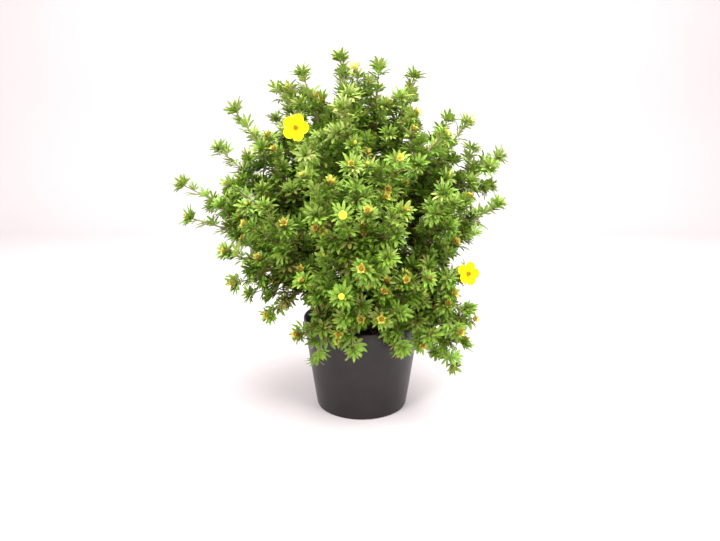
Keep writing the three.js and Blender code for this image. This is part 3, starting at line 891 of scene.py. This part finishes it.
def extra_shoots(curve, stations, form, full, draws):
    """More short side shoots in the spray's reach. Full sprays bear them further out."""
    found = []
    length = curve.length()
    at = 0.06
    azimuth = draws.next() * 6.28
    while at < (EXTRA_SHOOT_LAST if full > 1 else stations[1]):
        along, root = curve.tangent(at), curve.point(at)
        for _ in range(PLACE_TRIES):
            azimuth += EXTRA_SHOOT_TURN + draws.around(0.5)
            reach = draws.between(*EXTRA_SHOOT_LENGTHS) * max(1, full) * (1 - 0.5 * at * at)
            direction, _ = leaf_direction(along, azimuth, draws.between(0.7, 1.1))
            end = root + direction * reach + UP * reach * 0.2
            if form.holds([end + direction * 8], EXTRA_OUTREACH):
                found.append((Bend(root, root + direction * reach / 2, end), at))
                break
        at += EXTRA_SHOOT_SPACING * draws.between(0.7, 1.3) / length / full
    return found


def cad_leaves(shape, curve, stations, index, form, draws):
    """The single leaves that the CAD holds, at the same places."""
    for k, share in enumerate(LEAF_STARTS):
        at = stations[0] + (stations[1] - stations[0]) * share
        own = Draws(LEAF_SEED + index * len(LEAF_STARTS) + k)
        along = curve.tangent(at)
        base = curve.point(at)
        for attempt in range(LEAF_TRIES):
            turn_play = LEAF_TURN_PLAY[0] + LEAF_TURN_PLAY[1] * attempt
            turn = k * GOLDEN_ANGLE + index + (own.next() - 0.5) * turn_play
            tilt_play = LEAF_OPENING_PLAY[0] + LEAF_OPENING_PLAY[1] * attempt
            tilt = LEAF_OPENING + (own.next() - 0.5) * tilt_play
            scale = own.between(*LEAF_SCALES)
            direction, _ = leaf_direction(along, turn, tilt)
            normal = along + UP * 0.5
            y = unit(direction)
            z = unit(normal - y * (normal @ y))
            x = np.cross(y, z)
            tips = []
            for angle, part in LEAFLETS:
                reach = LEAFLET_LENGTH * part * scale
                out = y * (LEAF_STALK + reach * math.cos(angle)) + x * reach * math.sin(angle)
                tips.append(base + out - z * LEAF_ARCH * (reach / LEAFLET_LENGTH) ** 2)
            if form.holds(tips, LEAF_MATCH):
                size = LEAFLET_LENGTH * scale
                age = 0.35 + draws.around(0.15)
                add_leaf(shape, base, direction, normal, LEAF_STALK, size, age, draws)
                break


def tip_seat(curve, tip, facing):
    along = curve.tangent(1)
    base = np.asarray(tip, float) - along * TIP_SINK
    return base, unit(np.asarray(facing, float)) if facing is not None else along


def add_spray(curve, stations, tip, end, index, flower):
    node = f"spray_{index + 1:02d}"
    full = FULLNESS.get(index, 1)
    form = Form(node, BOX_SLACK * max(1, full) ** 2)
    if flower:
        base, facing = tip_seat(curve, tip, flower["facing"])
        seat = base + facing * (CALYX_SEAT + FLOWER_SEAT)
        form.bloom = (seat, facing, (PETAL_LENGTH + FLOWER_CLEARANCE) * flower["size"])
    draws = Draws(SPRAY_SEED + index)
    shape = Shape()
    old = 0.85 if stations is TWIG_STATIONS else 0.8
    shape.twig(curve, 15, (1.05 * TWIG_RADIUS, 0.5 * TWIG_RADIUS), 7, old, 0.8)
    leafy(shape, form, curve, 0.04, TWIG_SPACING / full, (16.5, 13.5), (0.85, 0.08), draws, not end)
    for shoot, share in extra_shoots(curve, stations, form, full, draws):
        age = 0.8 - 0.5 * share
        shape.twig(shoot, 5, (0.8, 0.4), 4, age)
        sizes, ages = (15, 13.5), (age, age - 0.35)
        leafy(shape, form, shoot, 0.25, SHOOT_SPACING, sizes, ages, draws, slack=EXTRA_OUTREACH)
        if draws.next() < EXTRA_CALYX_CHANCES[index in CLUSTERED]:
            stalk = draws.between(*CALYX_STALKS)
            add_calyx(shape, shoot.point(1), calyx_facing(shoot), stalk, SHOOT_CALYX, draws)
    for shoot in side_shoots(curve, stations, index, form):
        shape.twig(shoot, 7, (0.95, 0.5), 5, 0.5)
        leafy(shape, form, shoot, 0.15, SHOOT_SPACING, (14.5, 12.5), (0.45, 0.1), draws)
        if draws.next() < SHOOT_CALYX_CHANCE:
            for k in range(1 + (draws.next() < 0.4)):
                facing = calyx_facing(shoot) + (0.9 * k) * frame_along(shoot.tangent(1))[0]
                stalk = draws.between(*CALYX_STALKS)
                add_calyx(shape, shoot.point(1 - 0.12 * k), facing, stalk, SHOOT_CALYX, draws)
        elif draws.next() < 0.5:
            add_bud(shape, shoot.point(1), shoot.tangent(1) + 0.4 * UP, 5, 5.5, draws)
    cad_leaves(shape, curve, stations, index, form, draws)
    if end:
        base, facing = tip_seat(curve, tip, flower["facing"] if flower else None)
        bud = index == LOW_BUD["index"]
        look = SEPALS if flower or bud else SPENT
        add_calyx(shape, base, facing, CALYX_SEAT, TIP_CALYX, draws, look)
        if bud:
            seat = base + facing * (CALYX_SEAT + LOW_BUD["seat"])
            axes = np.array([*frame_along(facing), facing])
            for k in range(5):
                angle = 2 * math.pi * k / 5
                add_petal(shape, seat, axes, angle, LOW_BUD["size"], CLOSED, BUDS, draws)
    return make_piece(shape, node + "_fine", node, [LEAF, TWIG, CALYX, LEAF, BUD])


# Flowers


def add_petal(shape, seat, axes, angle, size, spread, look, draws):
    """One rounded petal, notched, cupped and a little waved, or a closed one of a bud."""
    length = PETAL_LENGTH * size
    rows, columns = 9, 10
    lean = spread + draws.around(0.1)
    curl = draws.between(0.02, 0.12)
    verts, tints = [], []
    for row in range(rows + 1):
        u = 1 - (1 - row / rows) ** 1.6
        swell = min(1, u / 0.6)
        half = 0.16 + 0.84 * swell * swell * (3 - 2 * swell)
        half *= 0.42 * length * math.sqrt(1 - (max(0, u - 0.6) / 0.41) ** 2)
        for column in range(columns + 1):
            v = 2 * column / columns - 1
            reach = length * u * (1 - 0.05 * u * v * v - 0.04 * u * math.exp(-12 * v * v))
            # the blade turns up from flat to its full lean over the first third
            out = reach * math.cos(lean) + 0.1 * length * u
            rise = reach * math.sin(lean) + curl * length * v * v * u
            rise -= 0.16 * length * u * u * math.cos(lean)
            rise += 0.2 * length * u * math.sin(lean) + 0.02 * length * math.sin(5 * v + angle) * u
            pinch = 1 - 0.35 * max(0, math.sin(lean)) * u * u
            if spread < CLOSED:
                verts.append((out * pinch, v * half * (1 - 0.1 * math.sin(lean)), rise))
            else:
                # a bud's petals wrap round each other up to its tip
                wrap = 0.6 * length * math.sin(math.pi * (0.02 + 0.97 * u)) ** 0.7
                wrap *= 1 + 0.05 * v
                rise = 0.55 * length * (1 - math.cos(math.pi * u))
                verts.append((wrap * math.cos(0.75 * v), wrap * math.sin(0.75 * v), rise))
            tints.append((u, abs(v), 0))
    verts = np.array(verts)
    c, s = math.cos(angle), math.sin(angle)
    verts = verts @ np.array([[c, s, 0], [-s, c, 0], [0, 0, 1]])
    faces = []
    for row in range(rows):
        for column in range(columns):
            a = row * (columns + 1) + column
            b = a + columns + 1
            faces += [(a, b, b + 1), (a, b + 1, a + 1)]
    shape.add(seat + verts @ axes, faces, look, np.array(tints))


def add_flower(flower, curve, tip):
    draws = Draws(FLOWER_SEED + len(flower["name"]))
    base, facing = tip_seat(curve, tip, flower["facing"])
    z = unit(facing)
    x, y = frame_along(z)
    axes = np.array([x, y, z])
    seat = base + z * (CALYX_SEAT + FLOWER_SEAT)
    size, spread = flower["size"], flower["spread"]
    shape = Shape()
    for k in range(5):
        lift = z * PETAL_LIFTS[k]
        add_petal(shape, seat + lift, axes, 2 * math.pi * k / 5, size, spread, PETALS, draws)
    middle = [seat - z * 2.2, seat - z, seat + z * 0.6, seat + z * 1.6]
    wide_open = spread < HALF_CLOSED
    tints = [(float(not wide_open), 0, 0)] * 4
    radii = np.array([0.8, 2.2, 2.6, 1.2]) * size
    shape.tube(middle, radii, 12, STAMEN_TIPS if wide_open else PETALS, tints)
    if wide_open:
        for k in range(STAMENS):
            angle = k * GOLDEN_ANGLE
            radius = (0.7 + 1.9 * (k / STAMENS)) * size
            away = (math.cos(angle) * x + math.sin(angle) * y) * radius
            foot = seat + away * 0.55 + z * 0.8
            head = seat + away * 1.25 + z * (4.2 - 1.4 * k / STAMENS) * size
            shape.tube([foot, head], (0.16, 0.14), 4, STAMEN_TIPS, [(0.4, 0, 0), (0.6, 0, 0)])
            nub = unit(head - foot)
            points = [head - nub * 0.5, head, head + nub * 0.6]
            shape.tube(points, (0.3, 0.5, 0.25), 6, STAMEN_TIPS, [(1, 0, 0)] * 3)
    looks = [FLOWER_LOOKS[flower["petals"]], STAMEN]
    make_piece(shape, flower["name"] + "_fine", flower["name"], looks)


# Pot and soil


def lathe(shape, outline, segments, look):
    """Turns an outline of (radius, height) that starts and ends on the axis into a closed body."""
    verts = []
    angles = np.linspace(0, 2 * math.pi, segments, endpoint=False)
    rings = outline[1:-1]
    for radius, height in rings:
        verts += [(radius * math.cos(a), radius * math.sin(a), height) for a in angles]
    verts += [(0, 0, outline[0][1]), (0, 0, outline[-1][1])]
    faces = wall_faces(len(rings), segments)
    first, last = len(verts) - 2, len(verts) - 1
    top = (len(rings) - 1) * segments
    for k in range(segments):
        faces += [(first, (k + 1) % segments, k), (last, top + k, top + (k + 1) % segments)]
    shape.add(np.array(verts), faces, look, np.zeros((len(verts), 3)))


def arc(centre, radius, start, end, steps=4):
    """Points of a rounded edge, with its angles in degrees."""
    turns = [math.radians(start + (end - start) * k / steps) for k in range(steps + 1)]
    return [(centre[0] + radius * math.cos(a), centre[1] + radius * math.sin(a)) for a in turns]


def build_pot():
    shape = Shape()
    band = POT_HEIGHT - BAND_HEIGHT
    wall = POT_RIM_RADIUS - BAND_STEP
    inner = POT_RIM_RADIUS - POT_WALL - BAND_STEP
    foot = (POT_BASE_RADIUS - FOOT_ROUNDING, FOOT_ROUNDING)
    outline = [(0, 0), (POT_BASE_RADIUS - 2, 0), *arc(foot, FOOT_ROUNDING, -80, 0)]
    for share in np.linspace(0.15, 0.97, 8):
        outline.append((POT_BASE_RADIUS + (wall - POT_BASE_RADIUS) * share, band * share))
    # the band, a step outside the wall and swelling slightly at half its height
    outline += [(wall - 0.2, band - 0.8), (wall, band - 0.2)]
    outline += arc((POT_RIM_RADIUS - BAND_ROUNDING, band + 0.9), BAND_ROUNDING, -70, 0)
    outline.append((POT_RIM_RADIUS + 0.1, band + BAND_HEIGHT / 2))
    rim = (POT_RIM_RADIUS - RIM_ROUNDING, POT_HEIGHT - RIM_ROUNDING)
    outline += arc(rim, RIM_ROUNDING, 0, 180, 8)
    outline += [(inner, POT_HEIGHT - 3), (POT_BASE_RADIUS - POT_WALL, POT_FLOOR), (0, POT_FLOOR)]
    lathe(shape, outline, POT_SEGMENTS, 0)
    make_piece(shape, "pot_fine", "pot", [POT])


def soil_height(radius):
    return SOIL_TOP + SOIL_MOUND * (1 - radius / SOIL_RADIUS)


def build_soil():
    draws = Draws(SOIL_SEED)
    shape = Shape()
    rings, sides = SOIL_RINGS, SOIL_SEGMENTS
    verts, tints = [], []
    for ring in range(rings + 1):
        radius = SOIL_RADIUS * (1 - ring / (rings + 1))
        for k in range(sides):
            a = 2 * math.pi * k / sides
            x, y = radius * math.cos(a), radius * math.sin(a)
            waves = SOIL_WAVES * (math.sin(0.19 * x) + math.cos(0.23 * y))
            verts.append((x, y, soil_height(radius) + waves + draws.around(SOIL_GRAIN)))
            tints.append((0, 0, draws.next() * 0.6))
    verts.append((0, 0, soil_height(0)))
    low = len(verts)
    radius, floor = POT_BASE_RADIUS - SOIL_SIDE_GAP, POT_FLOOR + SOIL_FLOOR_GAP
    for k in range(sides):
        a = 2 * math.pi * k / sides
        verts.append((radius * math.cos(a), radius * math.sin(a), floor))
    verts.append((0, 0, floor))
    tints += [(0, 0, 0)] * (sides + 2)
    faces = wall_faces(rings + 1, sides)
    for k in range(sides):
        nxt = (k + 1) % sides
        faces += [(rings * sides + k, rings * sides + nxt, low - 1), (k, low + nxt, nxt)]
        faces += [(k, low + k, low + nxt), (low + nxt, low + k, len(verts) - 1)]
    shape.add(np.array(verts), faces, 0, np.array(tints))
    corners = np.array([(1, 0, 0), (0, 1, 0), (-1, 0, 0), (0, -1, 0), (0, 0, 1), (0, 0, -1)], float)
    lump = [(0, 1, 4), (1, 2, 4), (2, 3, 4), (3, 0, 4), (1, 0, 5), (2, 1, 5), (3, 2, 5), (0, 3, 5)]
    for _ in range(CRUMBS):
        angle, radius = draws.next() * 6.283, CRUMB_FIELD * math.sqrt(draws.next())
        size = draws.between(*CRUMB_SIZES)
        stretch = np.array([draws.between(*CRUMB_STRETCH) for _ in range(18)]).reshape(6, 3)
        centre = (radius * math.cos(angle), radius * math.sin(angle), soil_height(radius) + 0.5)
        shape.add(centre + corners * stretch * size, lump, 0, np.full((6, 3), draws.next()))
    make_piece(shape, "soil_fine", "soil", [SOIL])


def add_wood(shape, curve, start, end, radii, draws, sides=9):
    """A stretch of woody stem with slight swellings and bends."""
    count = max(4, int(curve.length() * (end - start) / WOOD_STEP))
    points, sizes = [], []
    for k in range(count + 1):
        share = k / count
        at = start + (end - start) * share
        wander = np.array([draws.around(WOOD_WANDER) for _ in range(3)]) * (0 < k < count)
        points.append(curve.point(at) + wander)
        sizes.append((radii[0] + (radii[1] - radii[0]) * share) * draws.between(*WOOD_SWELLING))
    tints = [(1 - 0.2 * k / count, 0, 0) for k in range(count + 1)]
    shape.tube(points, sizes, sides, OLD_WOOD, tints)


def add_inner_shoots(shape, form, curve, start, end, spacing, draws):
    """Short old leafy shoots on the upper part of a woody stem, inside the shrub."""
    at = start
    azimuth = draws.next() * 6.28
    while at < end:
        azimuth += 2.2 + draws.around(0.6)
        root = curve.point(at)
        reach = draws.between(*INNER_LENGTHS)
        direction, _ = leaf_direction(curve.tangent(at), azimuth, draws.between(0.8, 1.2))
        tip = root + direction * reach + UP * reach * 0.25
        shoot = Bend(root, root + direction * reach / 2, tip)
        shape.twig(shoot, 5, (0.8, 0.4), 4, 0.8, fade=0)
        ages = (0.95, 0.7)
        leafy(shape, form, shoot, 0.3, SHOOT_SPACING, (15, 13), ages, draws, slack=EXTRA_OUTREACH)
        at += spacing * draws.between(0.7, 1.3) / curve.length()


# The shrub
wood = Shape()
inner_form = Form("woody_stems")
inner_draws = Draws(INNER_SEED)
wood_draws = Draws(WOOD_SEED)
flowers = iter(FLOWERS)
sprays = 0
plan = [list(stem) for stem in STEMS]
for k in range(BACK_STEMS):
    azimuth = BACK_FIRST_AZIMUTH + BACK_AZIMUTH_STEP * k
    rise = BACK_RISE if k % 2 else 0
    tips = BACK_TIPS[: 2 if k % 2 else 3]
    back = []
    for turn, out, height in tips:
        angle = azimuth + turn
        back.append(((out * math.cos(angle), out * math.sin(angle), height + rise), ""))
    plan.append(back)

for index, tips in enumerate(plan):
    stem = stem_curve(tips[0][0], index)
    add_wood(wood, stem, 0, STEM_WOOD_SHARE, STEM_RADII, wood_draws)
    spacing = INNER_SPACING[index >= len(STEMS)]
    add_inner_shoots(wood, inner_form, stem, INNER_FROM, STEM_WOOD_SHARE, spacing, inner_draws)
    for order, (tip, end) in enumerate(tips):
        if order:
            branch = branch_curve(stem, tip)
            outside = outside_share(branch, stem)
            add_wood(wood, branch, 0, outside + BRANCH_OVERLAP, BRANCH_RADII, wood_draws, 7)
            curve, stations = branch.cut(outside, 1), BRANCH_STATIONS
        else:
            curve, stations = stem.cut(STEM_WOOD_SHARE, 1), TWIG_STATIONS
        flower = next(flowers) if end == "flower" else None
        add_spray(curve, stations, tip, end, sprays, flower)
        if flower:
            add_flower(flower, curve, tip)
        sprays += 1

lathe(wood, CROWN_PROFILE, CROWN_SEGMENTS, OLD_WOOD)
make_piece(wood, "woody_stems_fine", "woody_stems", [LEAF, TWIG, BARK])
build_pot()
build_soil()


# Studio


def studio():
    look = Nodes("studio_floor", 0.7, 0.2)
    look.color(look.ramp(look.noise(3, 2), [(0.3, (0.7, 0.65, 0.655)), (0.7, (0.72, 0.665, 0.67))]))
    # a floor that sweeps up into a wall behind the shrub, in metres
    profile = [(-1.6, 0), (1.2, 0)]
    for a in np.linspace(0.15, math.pi / 2, 10):
        profile.append((1.2 + 0.5 * math.sin(a), 0.5 - 0.5 * math.cos(a)))
    profile.append((1.7, 2.4))
    verts = [(x, y, z - 0.0002) for y, z in profile for x in (-3, 3)]
    faces = [(2 * k, 2 * k + 1, 2 * k + 3, 2 * k + 2) for k in range(len(profile) - 1)]
    mesh = bpy.data.meshes.new("studio_sweep")
    mesh.from_pydata(verts, [], faces)
    mesh.materials.append(look.material)
    for polygon in mesh.polygons:
        polygon.use_smooth = True
    sweep = bpy.data.objects.new("studio_sweep", mesh)
    bpy.context.scene.collection.objects.link(sweep)

    def area(name, place, target, size, power):
        data = bpy.data.lights.new(name, "AREA")
        data.shape = "DISK"
        data.size = size
        data.energy = power
        lamp = bpy.data.objects.new(name, data)
        lamp.location = place
        lamp.rotation_mode = "QUATERNION"
        lamp.rotation_quaternion = (Vector(target) - Vector(place)).to_track_quat("-Z", "Y")
        bpy.context.scene.collection.objects.link(lamp)

    area("overhead", (0.25, -0.32, 1.65), (0, 0, 0.2), 1.5, 48)
    area("front_left", (-1.1, -1.3, 1.2), (0, 0, 0.25), 0.8, 31)
    area("front_right", (1.2, -1.1, 0.9), (0, 0, 0.25), 0.8, 15)
    world = bpy.data.worlds.new("studio")
    world.use_nodes = True
    background = world.node_tree.nodes["Background"]
    background.inputs["Color"].default_value = (1, 1, 1, 1)
    background.inputs["Strength"].default_value = 0.7
    bpy.context.scene.world = world


def camera():
    data = bpy.data.cameras.new("camera")
    data.lens = 30
    data.sensor_width = 36
    data.clip_start = 0.01
    cam = bpy.data.objects.new("camera", data)
    cam.location = (-0.0022, -0.740, 0.362)
    cam.rotation_euler = (math.radians(90 - 14), 0, 0)
    bpy.context.scene.collection.objects.link(cam)
    bpy.context.scene.camera = cam


studio()
camera()
bpy.context.scene.view_settings.view_transform = "Standard"
